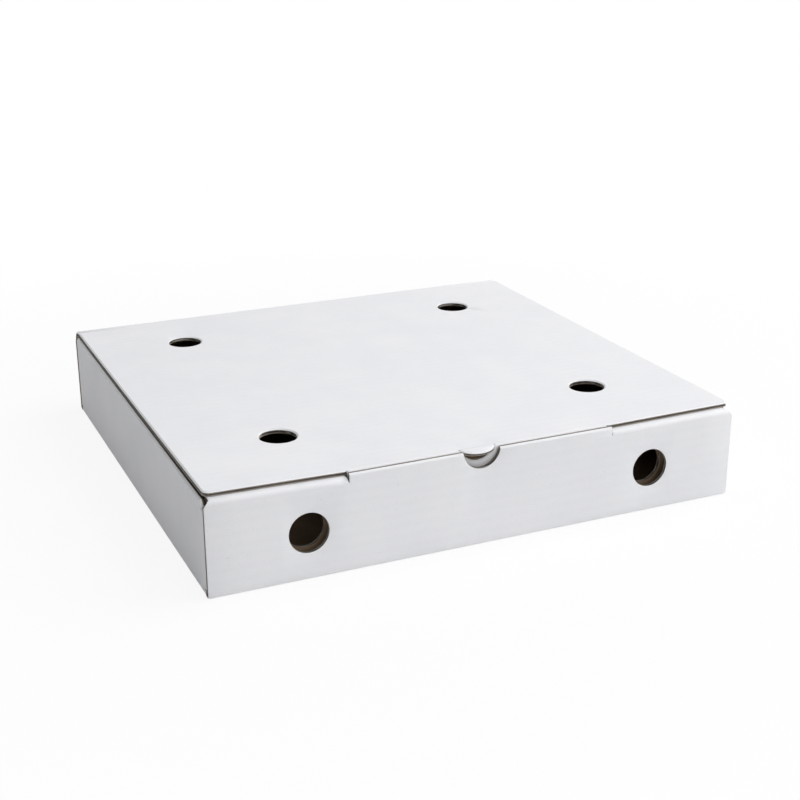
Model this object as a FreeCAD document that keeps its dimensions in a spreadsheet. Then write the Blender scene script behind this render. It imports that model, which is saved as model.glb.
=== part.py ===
import FreeCAD, Part
import os
import Sketcher

doc = FreeCAD.newDocument("pizza_box")

# Driving dimensions in millimetres
dimensions = {
    # outside of the closed box
    "box_width": 320.0,
    "box_depth": 303.0,
    "wall_height": 52.8,
    # corrugated board and the free space between its layers
    "board": 2.8,
    "fold_round": 1.4,
    "layer_gap": 0.4,
    "side_gap": 0.5,
    "lid_gap": 0.3,
    # front wall, rolled over into two layers
    "rollover_round": 2.4,
    "cavity_play": 1.6,
    "corner_cut": 5.5,
    "front_hole_radius": 11.3,
    "front_hole_spacing": 209.0,
    "front_hole_height": 26.4,
    # corner flaps of the side walls
    "flap_length": 40.0,
    # slot for the lid's tuck tab, with the thumb notch in front of it
    "slot_length": 160.0,
    "relief_width": 1.0,
    "relief_depth": 2.6,
    "notch_radius": 11.2,
    "notch_shift": 4.3,
    "notch_rise": 0.8,
    # locks of the inner front panel in the floor
    "lock_length": 34.0,
    "lock_spacing": 150.0,
    # lid
    "lid_corner": 5.0,
    "lid_hole_radius": 10.5,
    "lid_hole_spacing": 198.0,
    "lid_hole_front": 65.0,
    "lid_hole_back": 53.0,
    # tuck tab of the lid and the half moon cut out of it
    "tab_play": 1.1,
    "tab_round": 2.0,
    "tab_drop": 20.0,
    "tab_corner": 8.0,
    "tongue_gap": 0.3,
    "moon_drop": 5.9,
}
sizes = doc.addObject("Spreadsheet::Sheet", "sizes")
for row, (name, number) in enumerate(dimensions.items(), 1):
    sizes.set(f"A{row}", name)
    sizes.set(f"B{row}", str(number))
    sizes.setAlias(f"B{row}", name)
doc.recompute()

# Shared planes of the folded sheet, as formulas of the driving dimensions
half_width = "(sizes.box_width / 2)"
front = "(-sizes.box_depth / 2)"
back = "(sizes.box_depth / 2)"
outer_panel_back = f"({front} + sizes.board)"
inner_panel_front = f"({front} + 2 * sizes.board + sizes.cavity_play)"
inner_panel_back = f"({front} + 3 * sizes.board + sizes.cavity_play)"
wall_top = "sizes.wall_height"
rollover_under = "(sizes.wall_height - sizes.board)"
lid_under = "(sizes.wall_height + sizes.lid_gap)"
lid_top = "(sizes.wall_height + sizes.lid_gap + sizes.board)"
flap_front = "(sizes.board + sizes.layer_gap - sizes.box_depth / 2)"
side_start = f"({flap_front} + sizes.fold_round)"
side_end = f"(-{side_start})"
layer_start = "(sizes.board + sizes.layer_gap)"
tab_front = f"({front} + sizes.board + sizes.tab_play)"
lid_front = f"({front} + 2 * sizes.board + sizes.tab_play)"
tab_bottom = f"({lid_top} - sizes.tab_drop)"
cut_margin = "sizes.board"


def value(formula):
    """Number that a formula of the sheet gives."""
    return float(sizes.evalExpression(formula))


def new_sketch(body, name, plane, offset="0"):
    """Sketch on an origin plane of the body, moved along the plane's normal by a formula."""
    sketch = body.newObject("Sketcher::SketchObject", name)
    origin_plane = [item for item in body.Origin.OriginFeatures if item.Role == plane][0]
    sketch.AttachmentSupport = [(origin_plane, "")]
    sketch.MapMode = "FlatFace"
    sketch.setExpression("AttachmentOffset.Base.z", offset)
    return sketch


def pin(sketch, shape, point, across, up):
    """Hold one point of a sketch shape at two formulas, measured from the sketch's origin."""
    for kind, formula in (("DistanceX", across), ("DistanceY", up)):
        row = sketch.addConstraint(
            Sketcher.Constraint(kind, -1, 1, shape, point, value(formula)))
        sketch.setExpression(f"Constraints[{row}]", formula)


def outline(sketch, corners):
    """Closed outline; a corner is (across, up) or (across, up, radius) between square edges."""
    stops = []
    for index, corner in enumerate(corners):
        across, up = corner[0], corner[1]
        if len(corner) == 2:
            stops.append([(across, up), (across, up), None])
            continue
        radius = corner[2]
        ends = []
        for neighbour in (corners[index - 1], corners[(index + 1) % len(corners)]):
            step_across = value(neighbour[0]) - value(across)
            step_up = value(neighbour[1]) - value(up)
            if abs(step_across) > abs(step_up):
                sign = "+" if step_across > 0 else "-"
                ends.append((f"{across} {sign} {radius}", up))
            else:
                sign = "+" if step_up > 0 else "-"
                ends.append((across, f"{up} {sign} {radius}"))
        stops.append([ends[0], ends[1], radius])
    for index, (arrive, leave, radius) in enumerate(stops):
        following = stops[(index + 1) % len(stops)][0]
        start = FreeCAD.Vector(value(leave[0]), value(leave[1]), 0)
        finish = FreeCAD.Vector(value(following[0]), value(following[1]), 0)
        line = sketch.addGeometry(Part.LineSegment(start, finish), False)
        pin(sketch, line, 1, *leave)
        pin(sketch, line, 2, *following)
        if radius is None:
            continue
        corner = FreeCAD.Vector(value(corners[index][0]), value(corners[index][1]), 0)
        before = FreeCAD.Vector(value(arrive[0]), value(arrive[1]), 0)
        centre = before + start - corner
        outward = (corner - centre).normalize()
        middle = centre + outward * value(radius)
        arc = sketch.addGeometry(Part.Arc(before, middle, start), False)
        first, second = (arrive, leave)
        if sketch.getPoint(arc, 1).distanceToPoint(before) > value(radius) / 2:
            first, second = (leave, arrive)
        pin(sketch, arc, 1, *first)
        pin(sketch, arc, 2, *second)
        row = sketch.addConstraint(Sketcher.Constraint("Radius", arc, value(radius)))
        sketch.setExpression(f"Constraints[{row}]", radius)


def rectangle(sketch, left, right, low, high):
    """Upright rectangle between four formulas."""
    outline(sketch, [(left, low), (right, low), (right, high), (left, high)])


def circle(sketch, across, up, radius):
    """Circle with its centre and radius at formulas."""
    centre = FreeCAD.Vector(value(across), value(up), 0)
    shape = sketch.addGeometry(
        Part.Circle(centre, FreeCAD.Vector(0, 0, 1), value(radius)), False)
    pin(sketch, shape, 3, across, up)
    row = sketch.addConstraint(Sketcher.Constraint("Radius", shape, value(radius)))
    sketch.setExpression(f"Constraints[{row}]", radius)


def feature(body, kind, name, sketch, length, both_ways=False, turned=False):
    """Pad or pocket of a sketch by a formula, on one side of it or evenly on both."""
    made = body.newObject(f"PartDesign::{kind}", name)
    made.Profile = sketch
    made.SideType = "Symmetric" if both_ways else "One side"
    made.Reversed = turned
    made.setExpression("Length", length)
    body.Tip = made
    doc.recompute()
    return made


def round_edges(body, name, chosen, radius):
    """Fillet on the edges of the body that the test chooses."""
    base = body.Tip
    names = [f"Edge{number}" for number, edge in enumerate(base.Shape.Edges, 1) if chosen(edge)]
    fillet = body.newObject("PartDesign::Fillet", name)
    fillet.Base = (base, names)
    fillet.setExpression("Radius", radius)
    body.Tip = fillet
    doc.recompute()
    return fillet


# Tray: floor, four walls, corner flaps and the rolled front wall, folded from the sheet
tray = doc.addObject("PartDesign::Body", "tray")
tray.Label = "tray"

# Front wall section: floor edge, outer panel, roll-over and inner panel in one strip
sketch = new_sketch(tray, "front_wall_section", "YZ_Plane")
outline(sketch, [
    (side_start, "0"),
    (front, "0", "sizes.fold_round"),
    (front, wall_top, "sizes.rollover_round"),
    (inner_panel_back, wall_top, "sizes.fold_round"),
    (inner_panel_back, layer_start),
    (inner_panel_front, layer_start),
    (inner_panel_front, rollover_under),
    (outer_panel_back, rollover_under),
    (outer_panel_back, "sizes.board"),
    (side_start, "sizes.board"),
])
feature(tray, "Pad", "front_wall", sketch, "sizes.box_width", both_ways=True)

# The roll-over and inner panel are narrower and fit between the side walls
inside_edge = f"({half_width} - sizes.board - sizes.side_gap)"
past_side = f"({half_width} + {cut_margin})"
past_top = f"({wall_top} + {cut_margin})"
sketch = new_sketch(tray, "rollover_ends_outline", "XZ_Plane", f"-{outer_panel_back}")
rectangle(sketch, inside_edge, past_side, "sizes.board", past_top)
rectangle(sketch, f"-{past_side}", f"-{inside_edge}", "sizes.board", past_top)
feature(tray, "Pocket", "rollover_ends", sketch, f"{inner_panel_back} - {outer_panel_back}")

# The top corners of the outer panel are cut slanting down from the roll-over's ends
corner_low = f"({wall_top} - sizes.corner_cut)"
sketch = new_sketch(tray, "corner_cuts_outline", "XZ_Plane", f"-{front}")
for side in ("", "-"):
    outline(sketch, [
        (f"{side}{inside_edge}", wall_top),
        (f"{side}{half_width}", corner_low),
        (f"{side}{past_side}", corner_low),
        (f"{side}{past_side}", past_top),
        (f"{side}{inside_edge}", past_top),
    ])
feature(tray, "Pocket", "corner_cuts", sketch, "2 * sizes.board")

# Slot for the tuck tab, cut out of the roll-over
half_slot = "(sizes.slot_length / 2)"
sketch = new_sketch(tray, "tuck_slot_outline", "XY_Plane", past_top)
rectangle(sketch, f"-{half_slot}", half_slot, outer_panel_back, inner_panel_front)
feature(tray, "Pocket", "tuck_slot", sketch, f"sizes.board + {cut_margin}")

# In front of the slot the outer panel isn't rolled over and stands up to the lid's top
sketch = new_sketch(tray, "raised_edge_outline", "XZ_Plane", f"-{front}")
rectangle(sketch, f"-{half_slot}", half_slot, rollover_under, lid_top)
feature(tray, "Pad", "raised_edge", sketch, "sizes.board", turned=True)

# Relief cuts part the raised edge from the rolled stretches on both sides
relief_end = f"({half_slot} + sizes.relief_width)"
relief_low = f"({wall_top} - sizes.relief_depth)"
sketch = new_sketch(tray, "relief_cuts_outline", "XZ_Plane", f"-{front}")
rectangle(sketch, half_slot, relief_end, relief_low, past_top)
rectangle(sketch, f"-{relief_end}", f"-{half_slot}", relief_low, past_top)
feature(tray, "Pocket", "relief_cuts", sketch, f"{inner_panel_front} - {front}")

# Thumb notch in the raised edge
sketch = new_sketch(tray, "thumb_notch_outline", "XZ_Plane", f"-{front}")
circle(sketch, "-sizes.notch_shift", f"{lid_top} + sizes.notch_rise", "sizes.notch_radius")
feature(tray, "Pocket", "thumb_notch", sketch, "sizes.board + sizes.layer_gap")

# Vent holes through both layers of the front wall
sketch = new_sketch(tray, "front_holes_outline", "XZ_Plane", f"-{front}")
for side in ("", "-"):
    circle(sketch, f"{side}sizes.front_hole_spacing / 2", "sizes.front_hole_height",
           "sizes.front_hole_radius")
feature(tray, "Pocket", "front_holes", sketch, f"{inner_panel_back} - {front}")

# Floor and side walls: one channel section, running from front fold to back fold
inner_half = f"({half_width} - sizes.board)"
sketch = new_sketch(tray, "floor_and_sides_section", "XZ_Plane")
outline(sketch, [
    (f"-{half_width}", "0", "sizes.fold_round"),
    (f"-{half_width}", wall_top),
    (f"-{inner_half}", wall_top),
    (f"-{inner_half}", "sizes.board"),
    (inner_half, "sizes.board"),
    (inner_half, wall_top),
    (half_width, wall_top),
    (half_width, "0", "sizes.fold_round"),
])
feature(tray, "Pad", "floor_and_sides", sketch, f"2 * {side_end}", both_ways=True)

# Back wall, folded up from the floor to the lid's crease
sketch = new_sketch(tray, "back_wall_section", "YZ_Plane")
outline(sketch, [
    (side_end, "0"),
    (back, "0", "sizes.fold_round"),
    (back, wall_top),
    (f"{back} - sizes.board", wall_top),
    (f"{back} - sizes.board", "sizes.board"),
    (side_end, "sizes.board"),
])
feature(tray, "Pad", "back_wall", sketch, "sizes.box_width", both_ways=True)

# Corner flaps: each side wall turns in behind the front and the back panel
flap_back = f"({flap_front} + sizes.board)"
flap_tip = f"({half_width} - sizes.flap_length)"
sketch = new_sketch(tray, "left_flaps_plan", "XY_Plane", layer_start)
outline(sketch, [
    (f"-{half_width}", flap_front, "sizes.fold_round"),
    (f"-{half_width}", f"-{flap_front}", "sizes.fold_round"),
    (f"-{flap_tip}", f"-{flap_front}"),
    (f"-{flap_tip}", f"-{flap_back}"),
    (f"-{inner_half}", f"-{flap_back}"),
    (f"-{inner_half}", flap_back),
    (f"-{flap_tip}", flap_back),
    (f"-{flap_tip}", flap_front),
])
left_flaps = feature(tray, "Pad", "left_flaps", sketch,
                     f"{rollover_under} - sizes.layer_gap - {layer_start}")
both_flaps = tray.newObject("PartDesign::Mirrored", "both_flaps")
both_flaps.Originals = [left_flaps]
middle_plane = [item for item in tray.Origin.OriginFeatures if item.Role == "YZ_Plane"][0]
both_flaps.MirrorPlane = (middle_plane, [""])
tray.Tip = both_flaps
doc.recompute()

# Two locks of the inner panel stand in slots of the floor
sketch = new_sketch(tray, "lock_slots_outline", "XY_Plane", "sizes.board")
lock_near = "(sizes.lock_spacing / 2 - sizes.lock_length / 2)"
lock_far = "(sizes.lock_spacing / 2 + sizes.lock_length / 2)"
slot_near = f"({lock_near} - sizes.layer_gap)"
slot_far = f"({lock_far} + sizes.layer_gap)"
slot_front = f"({inner_panel_front} - sizes.layer_gap)"
slot_back = f"({inner_panel_back} + sizes.layer_gap)"
rectangle(sketch, slot_near, slot_far, slot_front, slot_back)
rectangle(sketch, f"-{slot_far}", f"-{slot_near}", slot_front, slot_back)
feature(tray, "Pocket", "lock_slots", sketch, "sizes.board")
sketch = new_sketch(tray, "locks_outline", "XY_Plane", layer_start)
rectangle(sketch, lock_near, lock_far, inner_panel_front, inner_panel_back)
rectangle(sketch, f"-{lock_far}", f"-{lock_near}", inner_panel_front, inner_panel_back)
feature(tray, "Pad", "locks", sketch, "sizes.board", turned=True)

# Lid: the sheet's last panel beyond the crease on the back wall
lid = doc.addObject("PartDesign::Body", "lid")
lid.Label = "lid"

# Lid panel with its rounded front corners and four vent holes
sketch = new_sketch(lid, "lid_outline", "XY_Plane", lid_under)
outline(sketch, [
    (f"-{half_width}", lid_front, "sizes.lid_corner"),
    (half_width, lid_front, "sizes.lid_corner"),
    (half_width, back),
    (f"-{half_width}", back),
])
for side in ("", "-"):
    for place in (f"{front} + sizes.lid_hole_front", f"{back} - sizes.lid_hole_back"):
        circle(sketch, f"{side}sizes.lid_hole_spacing / 2", place, "sizes.lid_hole_radius")
feature(lid, "Pad", "lid_panel", sketch, "sizes.board")


def is_crease(edge):
    """True for the lid's outer edge over the back wall."""
    box = edge.BoundBox
    at_back = abs(box.YMin - value(back)) < 0.01
    return at_back and abs(box.ZMin - value(lid_top)) < 0.01 and box.XLength > 1


round_edges(lid, "lid_crease", is_crease, "sizes.fold_round")

# Tuck tab, folded down from the middle of the lid's front edge into the slot
sketch = new_sketch(lid, "tuck_tab_section", "YZ_Plane")
outline(sketch, [
    (f"{lid_front} + sizes.board", lid_under),
    (f"{lid_front} + sizes.board", lid_top),
    (tab_front, lid_top, "sizes.tab_round"),
    (tab_front, tab_bottom),
    (lid_front, tab_bottom),
    (lid_front, lid_under),
])
feature(lid, "Pad", "tuck_tab", sketch, "sizes.slot_length - 2 * sizes.side_gap", both_ways=True)


def is_tab_corner(edge):
    """True for the two lower corner edges of the tuck tab."""
    box = edge.BoundBox
    at_bottom = abs(box.ZMin - value(tab_bottom)) < 0.01 and box.ZLength < 0.01
    return at_bottom and box.XLength < 0.01


round_edges(lid, "tab_corners", is_tab_corner, "sizes.tab_corner")

# Half moon cut out of the tab behind the thumb notch; its board stays level as a tongue
sketch = new_sketch(lid, "half_moon_outline", "XZ_Plane", f"-{tab_front}")
circle(sketch, "-sizes.notch_shift", f"{lid_top} - sizes.moon_drop + sizes.notch_radius",
       "sizes.notch_radius")
feature(lid, "Pocket", "half_moon", sketch, "sizes.board")
sketch = new_sketch(lid, "tongue_outline", "XY_Plane", lid_under)
circle(sketch, "-sizes.notch_shift", f"{front} + sizes.tongue_gap + sizes.notch_radius",
       "sizes.notch_radius")
feature(lid, "Pad", "tongue", sketch, "sizes.board")

# Last check of every object, then one file for each sub-part
doc.recompute()
for item in doc.Objects:
    if "Invalid" in item.State or "Error" in item.State:
        raise RuntimeError(f"{item.Name} isn't valid: {item.State}")
os.makedirs("parts", exist_ok=True)
for body in (tray, lid):
    if body.Shape.isNull() or not body.Shape.isValid():
        raise RuntimeError(f"{body.Label} has no valid shape")
    print(body.Label, len(body.Shape.Solids), "solid", round(body.Shape.Volume), "mm3", body.Shape.BoundBox)
    body.Shape.exportStep(f"parts/{body.Label}.step")
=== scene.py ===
import math
from types import SimpleNamespace

import bmesh
import bpy
import numpy as np
from mathutils import Euler, Matrix, Vector
from mathutils.geometry import delaunay_2d_cdt


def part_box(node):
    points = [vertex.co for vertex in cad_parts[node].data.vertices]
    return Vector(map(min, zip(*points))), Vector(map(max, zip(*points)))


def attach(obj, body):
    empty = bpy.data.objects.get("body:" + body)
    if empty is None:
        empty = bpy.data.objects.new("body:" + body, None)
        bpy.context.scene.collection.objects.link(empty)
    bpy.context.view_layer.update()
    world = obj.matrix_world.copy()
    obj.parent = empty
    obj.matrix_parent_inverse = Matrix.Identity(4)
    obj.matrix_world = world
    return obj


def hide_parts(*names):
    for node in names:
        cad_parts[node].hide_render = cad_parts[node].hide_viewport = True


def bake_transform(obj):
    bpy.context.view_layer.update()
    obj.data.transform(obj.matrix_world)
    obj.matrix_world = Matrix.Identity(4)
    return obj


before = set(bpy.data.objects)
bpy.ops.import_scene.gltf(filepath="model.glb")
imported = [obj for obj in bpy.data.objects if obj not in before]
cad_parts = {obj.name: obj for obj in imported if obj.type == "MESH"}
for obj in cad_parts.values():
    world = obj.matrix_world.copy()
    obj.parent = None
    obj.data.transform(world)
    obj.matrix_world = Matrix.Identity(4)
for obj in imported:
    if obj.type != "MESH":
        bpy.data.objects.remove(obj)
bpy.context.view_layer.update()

# Floor and side walls
# The middle of one die-cut sheet of corrugated board, white outside and brown inside. Both
# side walls are folded up from the floor, and the flutes run from left to right.
board = 0.0028
liner = 0.00035
flute_pitch = 0.0063
fluting_paper = 0.0002
flute_height = board - 2 * liner - fluting_paper
fold_round = 0.0014
fold_steps = 6
layer_gap = 0.0004
touching = 0.000001
zero_length = 0.000000001
weld_distance = 0.0000001
line_clearance = 0.00001
crush_reach = 0.0008
sharpest_corner = 0.5
edge_crush = (0.0006, 0.0004)
lines_per_flute = 8
circle_steps = 36
smooth_angle = math.radians(40)
tray_low, tray_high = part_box("tray")
lid_low, lid_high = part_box("lid")
half_width = tray_high.x
front = tray_low.y
back = tray_high.y
lid_top = lid_high.z
lid_gap = 0.0003
wall_top = lid_top - board - lid_gap
side_end = back - board - layer_gap - fold_round
flap_fold = back - 2 * board - layer_gap
flap_low = board + layer_gap
flap_high = wall_top - board - layer_gap
front_drop = 0.0042
back_drop = 0.0012
cavity_play = 0.0016
inner_front = front + 2 * board + cavity_play
inner_back = inner_front + board
lock_length = 0.034
lock_spacing = 0.150
ACROSS, ALONG = 0, 1
WHITE, KRAFT, FLUTING, CUT, HOLE_EDGE_SHADE = 0, 1, 2, 3, 4


def fold_line(corners, rounds):
    """Stations along a folded strip: the run, and the points on its outer and inner face."""
    stations = []
    bends = []
    run = 0.0
    spot = Vector(corners[0])
    for number in range(1, len(corners)):
        here = Vector(corners[number])
        ahead = (here - Vector(corners[number - 1])).normalized()
        inward = Vector((-ahead.y, ahead.x))
        if number == 1:
            stations.append((0.0, spot, spot + inward * board))
        if number == len(corners) - 1:
            stations.append((run + (here - spot).length, here, here + inward * board))
            break
        turned = (Vector(corners[number + 1]) - here).normalized()
        radius = rounds[number - 1]
        pinch = here + (turned - ahead) * board
        start = here - ahead * radius
        run += (start - spot).length
        stations.append((run - board + radius, here - ahead * board, pinch))
        centre = start + turned * radius
        bends.append((run, run + radius * math.pi / 2))
        for step in range(fold_steps + 1):
            angle = math.pi / 2 * step / fold_steps
            outer = centre - turned * radius * math.cos(angle) + ahead * radius * math.sin(angle)
            stations.append((run + radius * angle, outer, pinch))
        run += radius * math.pi / 2
        spot = here + turned * radius
        stations.append((run + board - radius, here + turned * board, pinch))
    return stations, bends


def folded(stations, run, depth):
    """Point of the folded strip at a run along it and a depth under its outer face."""
    for before, after in zip(stations, stations[1:]):
        if run <= after[0] or after is stations[-1]:
            break
    length = after[0] - before[0]
    share = (run - before[0]) / length if length > zero_length else 0.0
    outer = before[1] + (after[1] - before[1]) * share
    inner = before[2] + (after[2] - before[2]) * share
    return outer + (inner - outer) * depth / board


def region(outline, place, holes=(), across=(), along=(), waves_along=True, joints=(),
           crush=edge_crush):
    """One stretch of flat board: its cut lines, how it is folded and where it goes on."""
    return SimpleNamespace(outline=outline, place=place, holes=holes, across=across, along=along,
                           waves_along=waves_along, joints=joints, crush=crush)


def inside_loop(centres, loop):
    """Which of the flat points lie inside a closed loop."""
    inside = np.zeros(len(centres), bool)
    for (xa, ya), (xb, yb) in zip(loop, list(loop[1:]) + [loop[0]]):
        if ya == yb:
            continue
        spans = (ya > centres[:, 1]) != (yb > centres[:, 1])
        crossing = xa + (centres[:, 1] - ya) * (xb - xa) / (yb - ya)
        inside ^= spans & (centres[:, 0] < crossing)
    return inside


def on_joint(start, finish, joints):
    """Whether a side of an outline lies on a line past which the board goes on."""
    return any(max(abs(start[axis] - value), abs(finish[axis] - value)) < touching
               for axis, value in joints)


def loop_distance(spots, loop, joints=()):
    """Distance of flat points from a closed loop's sides, without those on a joint."""
    distance = np.full(len(spots), np.inf)
    corners = np.array(loop)
    for start, finish in zip(corners, np.roll(corners, -1, axis=0)):
        if on_joint(start, finish, joints):
            continue
        side = finish - start
        share = np.clip((spots - start) @ side / (side @ side), 0, 1)
        nearest = start + share[:, None] * side
        distance = np.minimum(distance, np.linalg.norm(spots - nearest, axis=1))
    return distance


def moved_in(loop, distance):
    """A closed loop with its sides moved inwards, or outwards by a negative distance."""
    spots = [Vector(spot) for spot in loop]
    following = spots[1:] + spots[:1]
    turned = sum(a.x * b.y - b.x * a.y for a, b in zip(spots, following))
    shift = distance if turned > 0 else -distance
    moved = []
    for before, spot, after in zip(spots[-1:] + spots[:-1], spots, following):
        one = (spot - before).normalized()
        two = (after - spot).normalized()
        sideways = Vector((-one.y - two.y, one.x + two.x))
        moved.append(spot + sideways * shift / max(sharpest_corner, 1 + one.dot(two)))
    return moved


def joint_points(loop, joints):
    """Points on a loop's joint sides, where the pressing of the cut edge beside them ends."""
    points = []
    for start, finish in zip(loop, list(loop[1:]) + [loop[0]]):
        if on_joint(start, finish, joints):
            inward = (Vector(finish) - Vector(start)).normalized() * crush_reach
            points += [Vector(start) + inward, Vector(finish) - inward]
    return points


def flat_sheet(stretch, across, along):
    """Flat mesh of a stretch of board, divided at the given lines and beside its cut edges."""
    points = []
    edges = []
    rings = [moved_in(stretch.outline, crush_reach)]
    rings += [moved_in(hole, -crush_reach) for hole in stretch.holes]
    for loop in (stretch.outline, *stretch.holes, *rings):
        first = len(points)
        points += [Vector(point) for point in loop]
        edges += [(first + i, first + (i + 1) % len(loop)) for i in range(len(loop))]
    for loop in (stretch.outline, *stretch.holes):
        points += joint_points(loop, stretch.joints)
    low = [min(point[axis] for point in stretch.outline) for axis in (ACROSS, ALONG)]
    high = [max(point[axis] for point in stretch.outline) for axis in (ACROSS, ALONG)]
    for axis, lines in ((ACROSS, across), (ALONG, along)):
        for value in lines:
            if low[axis] + line_clearance < value < high[axis] - line_clearance:
                ends = [Vector(low), Vector(high)]
                ends[0][axis] = ends[1][axis] = value
                edges.append((len(points), len(points) + 1))
                points += ends
    spots, _, faces, _, _, _ = delaunay_2d_cdt(points, edges, [], 0, weld_distance)
    spots = np.array([tuple(spot) for spot in spots])
    faces = np.array([tuple(face) for face in faces])
    centres = spots[faces].mean(axis=1)
    kept = inside_loop(centres, stretch.outline)
    for hole in stretch.holes:
        kept &= ~inside_loop(centres, hole)
    used, numbers = np.unique(faces[kept], return_inverse=True)
    flat = np.zeros((len(used), 3))
    flat[:, :2] = spots[used]
    mesh = bpy.data.meshes.new("flat_sheet")
    mesh.from_pydata(flat.tolist(), [], numbers.reshape(-1, 3).tolist())
    return mesh


def crushed(depth, crush):
    """Depth at a cut edge, where the die has pressed both faces together a little."""
    return crush[0] + depth * (board - crush[0] - crush[1]) / board


def add_layer(target, sheet, stretch, depth, thickness, outer_paper, inner_paper):
    """Adds one paper layer to the mesh: pressed at cut edges, folded, closed, facing outwards."""
    rim = {}
    for polygon in sheet.polygons:
        corners = list(polygon.vertices)
        for a, b in zip(corners, corners[1:] + corners[:1]):
            if rim.pop((b, a), None) is None:
                rim[(a, b)] = True
    flat = np.array([tuple(vertex.co) for vertex in sheet.vertices])
    distance = np.full(len(flat), np.inf)
    for loop in (stretch.outline, *stretch.holes):
        distance = np.minimum(distance, loop_distance(flat[:, :2], loop, stretch.joints))
    pressed = np.clip(1 - distance / crush_reach, 0, 1)
    middles = np.array([(flat[a, :2] + flat[b, :2]) / 2 for a, b in rim])
    outer_rim = loop_distance(middles, stretch.outline) < touching
    layer = bmesh.new()
    blank = layer.loops.layers.uv.new("blank")
    sides = ([], [])
    where = {}
    for number, (x, run, wave) in enumerate(flat):
        for side, inner in zip(sides, (0.0, thickness)):
            level = depth + inner - wave
            level += (crushed(level, stretch.crush) - level) * pressed[number]
            vertex = layer.verts.new(stretch.place(x, run, level))
            side.append(vertex)
            where[vertex] = (x, run) if stretch.waves_along else (run, x)
    upper, lower = sides
    edge_paper = FLUTING if outer_paper == inner_paper else CUT
    for polygon in sheet.polygons:
        corners = list(polygon.vertices)
        layer.faces.new([upper[i] for i in corners]).material_index = outer_paper
        layer.faces.new([lower[i] for i in reversed(corners)]).material_index = inner_paper
    # Rims on the outline show the cut board; rims of holes take a near-black edge that is painted
    # shade.
    for (a, b), outside in zip(rim, outer_rim):
        face = layer.faces.new([upper[b], upper[a], lower[a], lower[b]])
        face.material_index = edge_paper if outside else HOLE_EDGE_SHADE
    for face in layer.faces:
        for loop in face.loops:
            loop[blank].uv = where[loop.vert]
    if layer.calc_volume(signed=True) < 0:
        bmesh.ops.reverse_faces(layer, faces=layer.faces)
    part = bpy.data.meshes.new("layer")
    layer.to_mesh(part)
    layer.free()
    target.from_mesh(part)
    bpy.data.meshes.remove(part)


def spaced(low, high, count):
    """Evenly spaced values between two ends, both left out."""
    return [low + (high - low) * number / count for number in range(1, count)]


def wave_lines(outline, axis):
    """Lines that follow the flutes closely enough to draw each wave."""
    low = min(point[axis] for point in outline)
    high = max(point[axis] for point in outline)
    return spaced(low, high, max(2, round((high - low) / flute_pitch * lines_per_flute)))


def linked_node(tree, kind, operation=None, **inputs):
    """Node of a tree, with its inputs set to plain values or linked to other nodes' sockets."""
    node = tree.nodes.new(kind)
    if operation:
        node.operation = operation
    for socket, source in inputs.items():
        label = socket.replace("_", " ")
        target = node.inputs[int(socket[2:])] if socket.startswith("at") else node.inputs[label]
        if isinstance(source, bpy.types.NodeSocket):
            tree.links.new(source, target)
        else:
            target.default_value = source
    return node


# The fluted middle paper: a flat sheet raised and lowered by a sine of its own coordinate
flute_tree = bpy.data.node_groups.new("fluting", "GeometryNodeTree")
for label, kind in (("Sheet", "NodeSocketGeometry"), ("Pitch", "NodeSocketFloat"),
                    ("Height", "NodeSocketFloat"), ("Middle Depth", "NodeSocketFloat"),
                    ("Waves Along", "NodeSocketFloat"), ("Paper", "NodeSocketMaterial")):
    flute_tree.interface.new_socket(label, in_out="INPUT", socket_type=kind)
flute_tree.interface.new_socket("Fluting", in_out="OUTPUT", socket_type="NodeSocketGeometry")
flute_in = flute_tree.nodes.new("NodeGroupInput").outputs
sheet_place = linked_node(flute_tree, "GeometryNodeInputPosition")
flat_place = linked_node(flute_tree, "ShaderNodeSeparateXYZ", at0=sheet_place.outputs[0])
along_step = linked_node(flute_tree, "ShaderNodeMath", "SUBTRACT", at0=flat_place.outputs["Y"],
                         at1=flat_place.outputs["X"])
along_part = linked_node(flute_tree, "ShaderNodeMath", "MULTIPLY", at0=along_step.outputs[0],
                         at1=flute_in["Waves Along"])
wave_place = linked_node(flute_tree, "ShaderNodeMath", "ADD", at0=flat_place.outputs["X"],
                         at1=along_part.outputs[0])
wave_count = linked_node(flute_tree, "ShaderNodeMath", "DIVIDE", at0=wave_place.outputs[0],
                         at1=flute_in["Pitch"])
wave_turn = linked_node(flute_tree, "ShaderNodeMath", "MULTIPLY", at0=wave_count.outputs[0],
                        at1=math.tau)
wave = linked_node(flute_tree, "ShaderNodeMath", "SINE", at0=wave_turn.outputs[0])
half_height = linked_node(flute_tree, "ShaderNodeMath", "MULTIPLY", at0=flute_in["Height"],
                          at1=0.5)
raised = linked_node(flute_tree, "ShaderNodeMath", "MULTIPLY", at0=wave.outputs[0],
                     at1=half_height.outputs[0])
lowered = linked_node(flute_tree, "ShaderNodeMath", "SUBTRACT", at0=raised.outputs[0],
                      at1=flute_in["Middle Depth"])
wave_offset = linked_node(flute_tree, "ShaderNodeCombineXYZ", Z=lowered.outputs[0])
waved = linked_node(flute_tree, "GeometryNodeSetPosition", Geometry=flute_in["Sheet"],
                    Offset=wave_offset.outputs[0])
realized = linked_node(flute_tree, "GeometryNodeRealizeInstances", Geometry=waved.outputs[0])
papered = linked_node(flute_tree, "GeometryNodeSetMaterial", Geometry=realized.outputs[0],
                      Material=flute_in["Paper"])
flute_out = flute_tree.nodes.new("NodeGroupOutput")
flute_tree.links.new(papered.outputs[0], flute_out.inputs[0])


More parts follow.
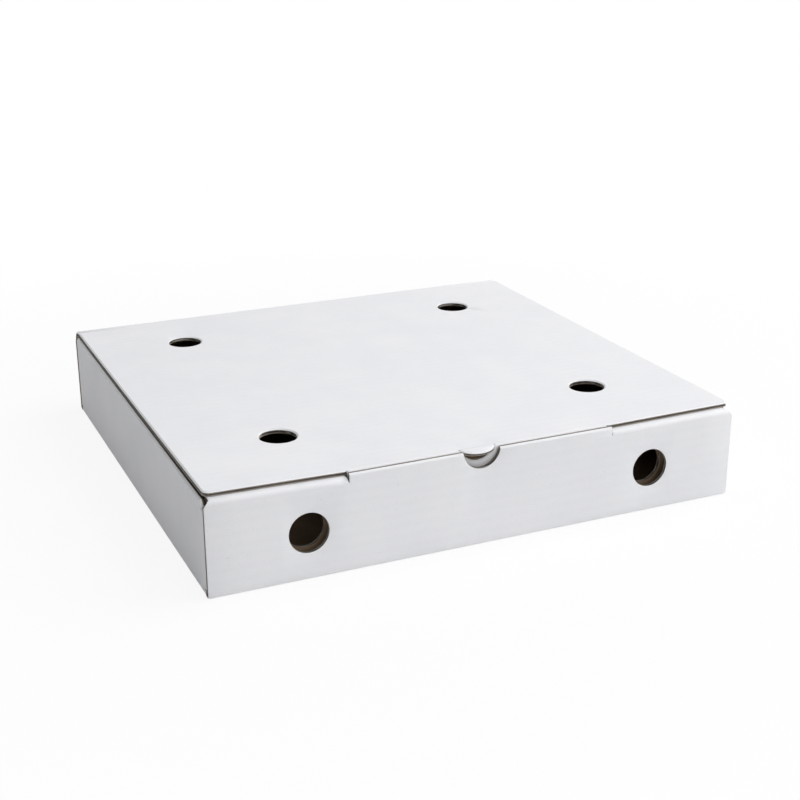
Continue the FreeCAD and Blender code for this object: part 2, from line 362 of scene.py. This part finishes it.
def waved_sheet(sheet, paper, waves_along):
    """Flat sheet turned into the wavy middle of the board by the fluting tree."""
    carrier = bpy.data.objects.new("fluting_carrier", sheet)
    bpy.context.scene.collection.objects.link(carrier)
    modifier = carrier.modifiers.new("fluting", "NODES")
    modifier.node_group = flute_tree
    chosen = {"Pitch": flute_pitch, "Height": flute_height, "Middle Depth": board / 2,
              "Waves Along": 1.0 if waves_along else 0.0, "Paper": paper}
    for item in flute_tree.interface.items_tree:
        if item.in_out == "INPUT" and item.name in chosen:
            modifier[item.identifier] = chosen[item.name]
    evaluated = carrier.evaluated_get(bpy.context.evaluated_depsgraph_get())
    waved_mesh = bpy.data.meshes.new_from_object(evaluated)
    carrier.modifiers.remove(modifier)
    bpy.data.objects.remove(carrier)
    return waved_mesh


# Fine marks that all the papers share: soft clouds, short fibres, specks and the washboard
paper_marks = bpy.data.node_groups.new("paper_marks", "ShaderNodeTree")
for label, kind in (("Blank", "NodeSocketVector"), ("Place", "NodeSocketVector"),
                    ("Pitch", "NodeSocketFloat")):
    paper_marks.interface.new_socket(label, in_out="INPUT", socket_type=kind)
for label in ("Clouds", "Fibres", "Washboard", "Specks"):
    paper_marks.interface.new_socket(label, in_out="OUTPUT", socket_type="NodeSocketFloat")
fibres_per_metre = (420.0, 2600.0, 1.0)
marks_in = paper_marks.nodes.new("NodeGroupInput").outputs
clouds = linked_node(paper_marks, "ShaderNodeTexNoise", Vector=marks_in["Place"], Scale=28.0,
                     Detail=4.0, Roughness=0.55)
fibre_stretch = linked_node(paper_marks, "ShaderNodeVectorMath", "MULTIPLY",
                            at0=marks_in["Blank"], at1=fibres_per_metre)
fibres = linked_node(paper_marks, "ShaderNodeTexNoise", Vector=fibre_stretch.outputs[0],
                     Scale=1.0, Detail=3.0, Roughness=0.6, Distortion=0.8)
blank_parts = linked_node(paper_marks, "ShaderNodeSeparateXYZ", at0=marks_in["Blank"])
ridge_count = linked_node(paper_marks, "ShaderNodeMath", "DIVIDE",
                          at0=blank_parts.outputs["Y"], at1=marks_in["Pitch"])
ridge_turn = linked_node(paper_marks, "ShaderNodeMath", "MULTIPLY", at0=ridge_count.outputs[0],
                         at1=math.tau)
ridges = linked_node(paper_marks, "ShaderNodeMath", "SINE", at0=ridge_turn.outputs[0])
specks = linked_node(paper_marks, "ShaderNodeTexNoise", Vector=marks_in["Place"], Scale=900.0,
                     Detail=2.0, Roughness=0.5)
marks_out = paper_marks.nodes.new("NodeGroupOutput")
for label, source in (("Clouds", clouds.outputs["Fac"]), ("Fibres", fibres.outputs["Fac"]),
                      ("Washboard", ridges.outputs[0]), ("Specks", specks.outputs["Fac"])):
    paper_marks.links.new(source, marks_out.inputs[label])


cloud_span = (0.3, 0.7)
fibre_span = (0.35, 0.65)
fleck_span = (0.68, 0.8)
gloss_span = (0.3, 0.7)
fibre_tone = 0.35
washboard_painted_shade = 0.12
fleck_tone = 0.5
gloss_spread = 0.06
paper_specular = 0.3


def paper_material(name, light, dark, fleck, ridge_depth, fibre_depth, roughness):
    """Paper with cloudy tone, fibres, darker flecks and the ridges of the flutes under it, as
    bumps and as faint painted shade in their troughs.
    """
    material = bpy.data.materials.new(name)
    material.use_nodes = True
    tree = material.node_tree
    tree.nodes.clear()
    blank_map = tree.nodes.new("ShaderNodeUVMap")
    blank_map.uv_map = "blank"
    place = tree.nodes.new("ShaderNodeTexCoord")
    marks = tree.nodes.new("ShaderNodeGroup")
    marks.node_tree = paper_marks
    tree.links.new(blank_map.outputs[0], marks.inputs["Blank"])
    tree.links.new(place.outputs["Object"], marks.inputs["Place"])
    marks.inputs["Pitch"].default_value = flute_pitch
    cloud_share = linked_node(tree, "ShaderNodeMapRange", Value=marks.outputs["Clouds"],
                              From_Min=cloud_span[0], From_Max=cloud_span[1])
    fibre_share = linked_node(tree, "ShaderNodeMapRange", Value=marks.outputs["Fibres"],
                              From_Min=fibre_span[0], From_Max=fibre_span[1],
                              To_Min=-fibre_tone, To_Max=fibre_tone)
    # The washboard ridges also darken the tone a little in their troughs: painted shade, beside
    # the bump below.
    ridge_painted_shade = linked_node(tree, "ShaderNodeMath", "MULTIPLY",
                              at0=marks.outputs["Washboard"], at1=washboard_painted_shade)
    tone = linked_node(tree, "ShaderNodeMath", "ADD", at0=cloud_share.outputs[0],
                       at1=fibre_share.outputs[0])
    tone = linked_node(tree, "ShaderNodeMath", "ADD", at0=tone.outputs[0],
                       at1=ridge_painted_shade.outputs[0])
    tone.use_clamp = True
    paper_tone = tree.nodes.new("ShaderNodeMix")
    paper_tone.data_type = "RGBA"
    tree.links.new(tone.outputs[0], paper_tone.inputs["Factor"])
    paper_tone.inputs["A"].default_value = (*dark, 1.0)
    paper_tone.inputs["B"].default_value = (*light, 1.0)
    fleck_share = linked_node(tree, "ShaderNodeMapRange", Value=marks.outputs["Specks"],
                              From_Min=fleck_span[0], From_Max=fleck_span[1],
                              To_Min=0.0, To_Max=fleck_tone)
    flecked = tree.nodes.new("ShaderNodeMix")
    flecked.data_type = "RGBA"
    tree.links.new(fleck_share.outputs[0], flecked.inputs["Factor"])
    tree.links.new(paper_tone.outputs["Result"], flecked.inputs["A"])
    flecked.inputs["B"].default_value = (*fleck, 1.0)
    height = linked_node(tree, "ShaderNodeMath", "MULTIPLY", at0=marks.outputs["Washboard"],
                         at1=ridge_depth)
    fibre_height = linked_node(tree, "ShaderNodeMath", "MULTIPLY",
                               at0=marks.outputs["Fibres"], at1=fibre_depth)
    height = linked_node(tree, "ShaderNodeMath", "ADD", at0=height.outputs[0],
                         at1=fibre_height.outputs[0])
    relief = linked_node(tree, "ShaderNodeBump", Height=height.outputs[0], Distance=1.0,
                         Strength=1.0)
    gloss = linked_node(tree, "ShaderNodeMapRange", Value=marks.outputs["Fibres"],
                        From_Min=gloss_span[0], From_Max=gloss_span[1],
                        To_Min=roughness - gloss_spread, To_Max=roughness + gloss_spread)
    shader = tree.nodes.new("ShaderNodeBsdfPrincipled")
    shader.inputs["Specular IOR Level"].default_value = paper_specular
    tree.links.new(flecked.outputs["Result"], shader.inputs["Base Color"])
    tree.links.new(gloss.outputs[0], shader.inputs["Roughness"])
    tree.links.new(relief.outputs[0], shader.inputs["Normal"])
    output = tree.nodes.new("ShaderNodeOutputMaterial")
    tree.links.new(shader.outputs[0], output.inputs["Surface"])
    return material


white_top = paper_material(
    "white_top_liner", light=(0.855, 0.855, 0.872), dark=(0.815, 0.818, 0.838),
    fleck=(0.60, 0.59, 0.58), ridge_depth=0.000012, fibre_depth=0.000008, roughness=0.62)
kraft_liner = paper_material(
    "kraft_liner", light=(0.27, 0.185, 0.115), dark=(0.225, 0.152, 0.094),
    fleck=(0.10, 0.065, 0.04), ridge_depth=0.00003, fibre_depth=0.000015, roughness=0.8)
kraft_fluting = paper_material(
    "kraft_fluting", light=(0.48, 0.43, 0.375), dark=(0.36, 0.32, 0.275),
    fleck=(0.18, 0.15, 0.12), ridge_depth=0.0, fibre_depth=0.000015, roughness=0.85)
cut_board = paper_material(
    "cut_board_edge", light=(0.56, 0.54, 0.525), dark=(0.44, 0.425, 0.41),
    fleck=(0.22, 0.20, 0.18), ridge_depth=0.0, fibre_depth=0.00002, roughness=0.85)
# Walls of the punched holes: the same cut board as the outer edges, coloured near black as
# painted shade for the dark inside of the holes.
hole_edge_shade_paper = paper_material(
    "hole_edge_painted_shade", light=(0.055, 0.047, 0.036), dark=(0.038, 0.031, 0.023),
    fleck=(0.02, 0.016, 0.012), ridge_depth=0.0, fibre_depth=0.00002, roughness=0.85)


def corrugated_piece(name, body, stretches, stand_for):
    """Piece of corrugated board: two liners and the fluted paper between them, folded."""
    target = bmesh.new()
    for stretch in stretches:
        plain = flat_sheet(stretch, stretch.across, stretch.along)
        add_layer(target, plain, stretch, 0.0, liner, WHITE, FLUTING)
        add_layer(target, plain, stretch, board - liner, liner, FLUTING, KRAFT)
        if stretch.waves_along:
            fine = flat_sheet(stretch, stretch.across, wave_lines(stretch.outline, ALONG))
        else:
            fine = flat_sheet(stretch, wave_lines(stretch.outline, ACROSS), stretch.along)
        middle = waved_sheet(fine, kraft_fluting, stretch.waves_along)
        add_layer(target, middle, stretch, -fluting_paper / 2, fluting_paper, FLUTING, FLUTING)
    mesh = bpy.data.meshes.new(name)
    target.to_mesh(mesh)
    target.free()
    for material in (white_top, kraft_liner, kraft_fluting, cut_board, hole_edge_shade_paper):
        mesh.materials.append(material)
    mesh.shade_smooth()
    mesh.set_sharp_from_angle(angle=smooth_angle)
    piece = bpy.data.objects.new(name, mesh)
    bpy.context.scene.collection.objects.link(piece)
    if body:
        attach(piece, body)
    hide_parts(stand_for)
    return piece


def arc(centre, radius, start, finish, steps):
    """Points of an arc between two angles in degrees, both ends included."""
    turns = [math.radians(start + (finish - start) * step / steps) for step in range(steps + 1)]
    return [(centre[0] + radius * math.cos(a), centre[1] + radius * math.sin(a)) for a in turns]


channel, _ = fold_line(
    [(-half_width, wall_top), (-half_width, 0), (half_width, 0), (half_width, wall_top)],
    [fold_round, fold_round])
channel_length = channel[-1][0]
channel_columns = 6
wall_crush = (0.0013, 0.0009)
wall_relief = 0.0030


def wall_end(relief, drop):
    """Outline of the channel at one end: both walls step down to their flaps' folds."""
    one_wall = [(side_end - relief, 0), (side_end, drop), (flap_fold, drop),
                (flap_fold, wall_top - flap_low), (side_end, wall_top - flap_low)]
    return one_wall + [(y, channel_length - run) for y, run in reversed(one_wall)]


channel_outline = wall_end(0, back_drop)
channel_outline += [(-y, run) for y, run in reversed(wall_end(wall_relief, front_drop))]
lock_slots = []
for side in (-1, 1):
    near = channel_length / 2 + side * lock_spacing / 2 - lock_length / 2 - layer_gap
    far = near + lock_length + 2 * layer_gap
    lock_slots.append([(inner_front - layer_gap, near), (inner_back + layer_gap, near),
                       (inner_back + layer_gap, far), (inner_front - layer_gap, far)])


def place_channel(across, run, depth):
    """Place of a point of the floor and the side walls."""
    spot = folded(channel, run, depth)
    return (spot.x, across, spot.y)


corrugated_piece("floor_and_side_walls", "tray", [
    region(channel_outline, place_channel, holes=lock_slots,
           across=spaced(-side_end, side_end, channel_columns),
           along=[station[0] for station in channel], waves_along=False,
           joints=[(ACROSS, side_end), (ACROSS, -side_end),
                   (ACROSS, flap_fold), (ACROSS, -flap_fold)],
           crush=wall_crush),
], "tray")

# Front wall
# The sheet's front end, folded up and rolled over into an outer and an inner panel, so the
# board's spring lifts its two ends. Between them the outer panel stands up to the lid's top.
rollover_round = 0.0024
side_gap = 0.0005
half_slot = 0.0797
slot_shift = -0.0019
relief_width = 0.0004
relief_depth = 0.0019
corner_cut = 0.0035
notch_radius = 0.0112
notch_shift = -0.0043
notch_rise = 0.0008
front_crush = (0.0003, 0.0002)
front_hole_radius = 0.0113
front_hole_reach = 0.1045
front_hole_height = 0.0264
lock_foot = 0.0004
raised_crush = 0.0012
raised_crush_reach = 0.0015
raised_crush_steps = (0.08, 0.2, 0.4, 0.65, 1)
left_lift = 0.0016
right_lift = 0.0008
lift_curve = 0.85
gap_share = 0.6
notch_steps = 24
front_column_count = 16
inside_edge = half_width - board - side_gap
front_line, front_bends = fold_line(
    [(inner_back, lock_foot), (inner_back, wall_top), (front, wall_top), (front, 0),
     (-side_end, 0)], [fold_round, rollover_round, fold_round])
front_length = front_line[-1][0]
_, top_bend, low_bend = front_bends
inner_top_run = wall_top - lock_foot
raised_run = top_bend[1] - (lid_top - (wall_top - rollover_round))
slot_middle_run = (inner_top_run + raised_run) / 2


def outer_run(height):
    """Run along the strip of a height on the outer panel."""
    return top_bend[1] + wall_top - rollover_round - height


def side_lift(x):
    """How far the springy roll-over lifts the lid on either side of the slot."""
    beside = max(0.0, abs(x - slot_shift) - half_slot) / (half_width - half_slot)
    return (left_lift if x < 0 else right_lift) * beside ** lift_curve


def place_front(across, run, depth):
    """Place of a point of the front strip, which is rolled over only beside the slot."""
    if abs(across - slot_shift) > half_slot + relief_width / 2 or run > low_bend[0] - board:
        spot = folded(front_line, run, depth)
        lift = side_lift(across)
        if abs(across - slot_shift) > half_slot:
            lift += lid_gap * gap_share
        return (across, spot.x, spot.y * (1 + lift / wall_top))
    if run < slot_middle_run:
        return (across, inner_back - depth, lock_foot + run)
    near = max(0.0, 1 - (run - raised_run) / raised_crush_reach)
    lost = raised_crush * (1 - math.sqrt(max(0.0, 1 - near * near)))
    return (across, front + crushed(depth, (lost, 0.0)), outer_run(0) - run)


foot = flap_low - lock_foot
lock_near = lock_spacing / 2 - lock_length / 2
lock_far = lock_spacing / 2 + lock_length / 2
half_front = [(0, foot), (lock_near, foot), (lock_near, 0), (lock_far, 0), (lock_far, foot),
              (inside_edge, foot), (inside_edge, top_bend[0]),
              (half_width, outer_run(wall_top - corner_cut)), (half_width, front_length)]
front_outline = half_front + [(-x, run) for x, run in reversed(half_front[1:])]
relief_run = outer_run(wall_top - relief_depth)
notch_run = outer_run(lid_top + notch_rise)
notch_angle = math.degrees(math.asin((raised_run - notch_run) / notch_radius))
half_hole = [(half_slot + relief_width, inner_top_run), (half_slot + relief_width, relief_run),
             (half_slot, relief_run), (half_slot, raised_run)]
slot_hole = [(slot_shift + x, run) for x, run in half_hole]
slot_hole += arc((notch_shift, notch_run), notch_radius, notch_angle, 180 - notch_angle,
                 notch_steps)
slot_hole += [(slot_shift - x, run) for x, run in reversed(half_hole)]


def round_hole(centre, radius):
    """Points of a punched round hole."""
    return arc(centre, radius, 0, 360 - 360 / circle_steps, circle_steps - 1)


front_holes = [slot_hole]
for side in (-1, 1):
    for hole_run in (outer_run(front_hole_height), front_hole_height - lock_foot):
        front_holes.append(round_hole((side * front_hole_reach, hole_run), front_hole_radius))
front_runs = [station[0] for station in front_line]
front_runs += [raised_run + raised_crush_reach * share for share in raised_crush_steps]
front_columns = spaced(-half_width, half_width, front_column_count)
front_columns += [slot_shift - half_slot - relief_width, slot_shift + half_slot + relief_width]
corrugated_piece("front_wall", "tray", [
    region(front_outline, place_front, holes=front_holes, across=front_columns,
           along=front_runs, joints=[(ALONG, front_length)], crush=front_crush),
], "tray")

# Back wall
# Folded up from the floor over the whole width, up to the lid's crease; the corner flaps
# lie against its inner face.
crease_reach = 0.0070
back_columns = 8
crease_start = lid_top - crease_reach
back_line, _ = fold_line([(side_end, 0), (back, 0), (back, crease_start)], [fold_round])
back_length = back_line[-1][0]


def place_back(across, run, depth):
    """Place of a point of the back wall."""
    spot = folded(back_line, run, depth)
    return (across, spot.x, spot.y)


back_outline = [(-half_width, 0), (half_width, 0), (half_width, back_length),
                (-half_width, back_length)]
corrugated_piece("back_wall", "tray", [
    region(back_outline, place_back, across=spaced(-half_width, half_width, back_columns),
           along=[station[0] for station in back_line],
           joints=[(ALONG, 0), (ALONG, back_length)]),
], "tray")

# Corner flaps
# Each side wall ends in two flaps, turned in behind the front panel and the back panel.
# Their free corners are rounded, and near the fold they end a little under the side wall's top.
flap_length = 0.040
flap_corner = 0.006
flap_corner_steps = 5
flap_tip = half_width - flap_length
flap_line, _ = fold_line(
    [(-flap_tip, back - board - layer_gap), (-half_width, back - board - layer_gap),
     (-half_width, flap_fold)], [fold_round])
flap_run = flap_line[-1][0]
flap_step = inside_edge - flap_tip + layer_gap
flap_free_end = arc((flap_low + flap_corner, flap_corner), flap_corner, 180, 270,
                    flap_corner_steps)
flap_free_end += arc((flap_high - flap_corner, flap_corner), flap_corner, 270, 360,
                     flap_corner_steps)
for name, side, end in (("flap_back_left", 1, 1), ("flap_back_right", -1, 1),
                        ("flap_front_left", 1, -1), ("flap_front_right", -1, -1)):
    fold_high = wall_top - (back_drop if end > 0 else front_drop)
    flap_outline = flap_free_end + [(flap_high, flap_step), (fold_high, flap_step),
                                    (fold_high, flap_run), (flap_low, flap_run)]

    def place_flap(height, run, depth, side=side, end=end):
        """Place of a point of this flap, mirrored to its own corner."""
        spot = folded(flap_line, run, depth)
        return (spot.x * side, spot.y * end, height)

    corrugated_piece(name, "tray", [
        region(flap_outline, place_flap, along=[station[0] for station in flap_line],
               joints=[(ALONG, flap_run)], crush=wall_crush),
    ], "tray")

# Lid with its tuck tab
# The last panel of the sheet, held down in the middle by the tab that is folded down into
# the slot. A half moon is cut out of the fold and stays in the lid's plane as a tongue.
lid_corner = 0.004
lid_inset = 0.0004
lid_shift = 0.0012
lid_crush = (0.0007, 0.0001)
lid_hole_radius = 0.0106
lid_hole_reach = 0.099
lid_hole_front = 0.065
lid_hole_back = 0.053
lid_curve = 1.8
lid_corner_steps = 6
lid_column_count = 24
lid_row_count = 16
tab_play = 0.0011
tab_round = 0.0020
tab_corner = 0.008
half_tab = half_slot - side_gap
moon_radius = 0.0112
moon_shift = -0.0050
moon_drop = 0.0068
moon_steps = 28
tongue_reach = 0.87
tongue_droop = 0.0007
tongue_press = 0.45
droop_curve = 1.5
tongue_rows = 5
crease_end = back - crease_reach
tab_front = front + board + tab_play
lid_line, lid_bends = fold_line(
    [(crease_end, lid_top), (tab_front, lid_top), (tab_front, lid_low.z)], [tab_round])
lid_length = lid_line[-1][0]
tab_bend = lid_bends[0]
lid_front_run = crease_end - tab_front - board / 2
lid_half_width = half_width - lid_inset


def place_lid(across, run, depth):
    """Place of a point of the lid, flat but for its tab and the lift towards the front."""
    if abs(across - slot_shift) > half_tab + crush_reach / 2:
        spot = Vector((crease_end - run, lid_top - depth))
    else:
        spot = folded(lid_line, run, depth)
    ahead = max(0.0, run / lid_front_run)
    return (across, spot.x, spot.y + side_lift(across) * ahead ** lid_curve)


def place_tongue(across, run, depth):
    """Place of a point of the tongue, which thins and droops towards its tip."""
    ahead = (run - tab_bend[0]) / (moon_tip - tab_bend[0])
    forward = tab_bend[0] + (run - tab_bend[0]) * tongue_reach
    level = lid_top - depth * (1 - tongue_press * ahead) - tongue_droop * ahead ** droop_curve
    return (across, crease_end - forward, level)


moon_tip = tab_bend[1] + moon_drop - tab_round
moon_middle = moon_tip - moon_radius
moon_angle = math.degrees(math.asin((tab_bend[0] - moon_middle) / moon_radius))
half_moon = arc((moon_shift, moon_middle), moon_radius, moon_angle, 180 - moon_angle, moon_steps)


def lid_side(side):
    """Outline of one half of the lid and its tab, from the tab's end to the crease."""
    tab_edge = slot_shift + side * half_tab
    panel_edge = lid_shift + side * lid_half_width
    turn = 90 - side * 90
    points = arc((tab_edge - side * tab_corner, lid_length - tab_corner), tab_corner,
                 90, turn, lid_corner_steps)
    points += [(tab_edge, lid_front_run)]
    points += arc((panel_edge - side * lid_corner, lid_front_run - lid_corner), lid_corner,
                  90, turn, lid_corner_steps)
    return points + [(panel_edge, 0)]


lid_outline = lid_side(1) + list(reversed(lid_side(-1)))
lid_holes = [half_moon]
for side in (-1, 1):
    for hole_place in (front + lid_hole_front, back - lid_hole_back):
        middle = (lid_shift + side * lid_hole_reach, crease_end - hole_place)
        lid_holes.append(round_hole(middle, lid_hole_radius))
lid_columns = spaced(-half_width, half_width, lid_column_count)
lid_columns += [slot_shift + side * (half_tab + crush_reach) for side in (-1, 1)]
lid_runs = [station[0] for station in lid_line] + spaced(0, lid_front_run, lid_row_count)
corrugated_piece("lid_and_tuck_tab", "lid", [
    region(lid_outline, place_lid, holes=lid_holes, across=lid_columns, along=lid_runs,
           joints=[(ALONG, 0), (ALONG, tab_bend[0])], crush=lid_crush),
    region(half_moon, place_tongue, along=spaced(tab_bend[0], moon_tip, tongue_rows),
           joints=[(ALONG, tab_bend[0])], crush=lid_crush),
], "lid")

# Lid crease
# The pressed line between the back wall and the lid, where the sheet bends as the lid opens.
# Its liners run on from both panels, and the inner one is pushed up into a bead.
crease_bead = 0.0022
crease_steps = 24


def corner_path(share, straight, radius):
    """Point at a share of a path that goes up, round a corner and on, level again."""
    bend = radius * math.pi / 2
    run = share * (2 * straight + bend)
    angle = min(max(run - straight, 0.0) / radius, math.pi / 2)
    level = radius * (1 - math.cos(angle)) + max(0.0, run - straight - bend)
    return Vector((level, min(run, straight) + radius * math.sin(angle)))


crease_length = 2 * (crease_reach - fold_round) + fold_round * math.pi / 2
crease_line = []
for step in range(crease_steps + 1):
    passed = step / crease_steps
    white_side = corner_path(passed, crease_reach - fold_round, fold_round)
    brown_side = corner_path(passed, crease_reach - board - crease_bead, crease_bead)
    crease_line.append((passed * crease_length,
                        Vector((back - white_side.x, crease_start + white_side.y)),
                        Vector((back - board - brown_side.x, crease_start + brown_side.y))))


def place_crease(across, run, depth):
    """Place of a point of the crease, which runs from the wall's edge to the lid's."""
    spot = folded(crease_line, run, depth)
    share = run / crease_length
    narrowed = across * (1 - lid_inset / half_width * share)
    return (narrowed + lid_shift * share, spot.x, spot.y)


crease_outline = [(-half_width, 0), (half_width, 0), (half_width, crease_length),
                  (-half_width, crease_length)]
crease = corrugated_piece("lid_crease", None, [
    region(crease_outline, place_crease, across=spaced(-half_width, half_width, back_columns),
           along=[station[0] for station in crease_line],
           joints=[(ALONG, 0), (ALONG, crease_length)]),
], "lid")
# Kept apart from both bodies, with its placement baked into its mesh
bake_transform(crease)

# Studio
# White floor that keeps the soft shadow at the box's foot, a strong soft lamp above and to the
# right with two weaker ones, and the camera at the photograph's angle off the left corner.
floor_size = 3.0
floor_drop = 0.0002
floor_white = (0.90, 0.90, 0.90, 1)
floor_glow_near = 0.88
glow_near_reach = 0.24
glow_far_reach = 0.55
room_tint = (0.97, 0.98, 1.0, 1)
room_dark = 0.18
room_bright = 0.42
floor_mesh = bpy.data.meshes.new("studio_floor")
floor_mesh.from_pydata([(-floor_size, -floor_size, 0), (floor_size, -floor_size, 0),
                        (floor_size, floor_size, 0), (-floor_size, floor_size, 0)], [],
                       [(0, 1, 2, 3)])
studio_floor = bpy.data.objects.new("studio_floor", floor_mesh)
bpy.context.scene.collection.objects.link(studio_floor)
studio_floor.location.z = -floor_drop


def seen_rays(tree):
    """Socket that is 1 for the rays of the view, of mirrors and of glass."""
    rays = tree.nodes.new("ShaderNodeLightPath")
    seen = linked_node(tree, "ShaderNodeMath", "MAXIMUM", at0=rays.outputs["Is Camera Ray"],
                       at1=rays.outputs["Is Glossy Ray"])
    seen = linked_node(tree, "ShaderNodeMath", "MAXIMUM", at0=seen.outputs[0],
                       at1=rays.outputs["Is Transmission Ray"])
    return seen.outputs[0]


floor_material = bpy.data.materials.new("studio_floor")
floor_material.use_nodes = True
floor_tree = floor_material.node_tree
floor_tree.nodes.clear()
floor_paper = linked_node(floor_tree, "ShaderNodeBsdfDiffuse", Color=floor_white)
floor_glow = linked_node(floor_tree, "ShaderNodeEmission", Color=(1, 1, 1, 1), Strength=1.0)
floor_place = floor_tree.nodes.new("ShaderNodeTexCoord")
floor_reach = linked_node(floor_tree, "ShaderNodeVectorMath", "LENGTH",
                          at0=floor_place.outputs["Object"])
glow_level = linked_node(floor_tree, "ShaderNodeMapRange", Value=floor_reach.outputs["Value"],
                         From_Min=glow_near_reach, From_Max=glow_far_reach,
                         To_Min=floor_glow_near, To_Max=1.0)
glow_share = linked_node(floor_tree, "ShaderNodeMath", "MULTIPLY", at0=seen_rays(floor_tree),
                         at1=glow_level.outputs[0])
floor_mix = floor_tree.nodes.new("ShaderNodeMixShader")
floor_tree.links.new(glow_share.outputs[0], floor_mix.inputs[0])
floor_tree.links.new(floor_paper.outputs[0], floor_mix.inputs[1])
floor_tree.links.new(floor_glow.outputs[0], floor_mix.inputs[2])
floor_out = floor_tree.nodes.new("ShaderNodeOutputMaterial")
floor_tree.links.new(floor_mix.outputs[0], floor_out.inputs["Surface"])
floor_mesh.materials.append(floor_material)

world = bpy.data.worlds.new("studio")
world.use_nodes = True
world_tree = world.node_tree
world_tree.nodes.clear()
sky = world_tree.nodes.new("ShaderNodeTexCoord")
sky_parts = linked_node(world_tree, "ShaderNodeSeparateXYZ", at0=sky.outputs["Generated"])
sky_level = linked_node(world_tree, "ShaderNodeMapRange", Value=sky_parts.outputs["X"],
                        From_Min=-1.0, From_Max=1.0, To_Min=room_dark, To_Max=room_bright)
room_light = linked_node(world_tree, "ShaderNodeBackground", Color=room_tint,
                         Strength=sky_level.outputs[0])
white_view = linked_node(world_tree, "ShaderNodeBackground", Color=(1, 1, 1, 1), Strength=1.0)
world_mix = world_tree.nodes.new("ShaderNodeMixShader")
world_tree.links.new(seen_rays(world_tree), world_mix.inputs[0])
world_tree.links.new(room_light.outputs[0], world_mix.inputs[1])
world_tree.links.new(white_view.outputs[0], world_mix.inputs[2])
world_out = world_tree.nodes.new("ShaderNodeOutputWorld")
world_tree.links.new(world_mix.outputs[0], world_out.inputs["Surface"])
bpy.context.scene.world = world


def soft_lamp(name, place, size, power):
    """Square soft lamp aimed at the middle of the box."""
    lamp = bpy.data.lights.new(name, "AREA")
    lamp.size = size
    lamp.energy = power
    holder = bpy.data.objects.new(name, lamp)
    holder.location = place
    aim = Vector((0, 0, wall_top / 2)) - Vector(place)
    holder.rotation_euler = aim.to_track_quat("-Z", "Y").to_euler()
    bpy.context.scene.collection.objects.link(holder)


soft_lamp("lamp_above_right", place=(1.5, -0.3, 1.7), size=1.6, power=28.0)
soft_lamp("lamp_above", place=(0.0, 0.0, 1.6), size=1.6, power=7.5)
soft_lamp("lamp_front", place=(0.3, -1.7, 0.9), size=1.2, power=7.5)

camera_data = bpy.data.cameras.new("camera")
camera_data.sensor_width = 36.0
camera_data.lens = 63.07
camera = bpy.data.objects.new("camera", camera_data)
camera_azimuth = -24.096
camera_elevation = 20.437
camera_roll = -0.105
camera.location = (-0.32975, -0.77043, 0.34513)
camera.rotation_euler = (
    Euler((math.radians(90 - camera_elevation), 0, math.radians(camera_azimuth))).to_matrix()
    @ Matrix.Rotation(math.radians(camera_roll), 3, "Z")).to_euler()
bpy.context.scene.collection.objects.link(camera)
bpy.context.scene.camera = camera
bpy.context.scene.view_settings.view_transform = "Standard"
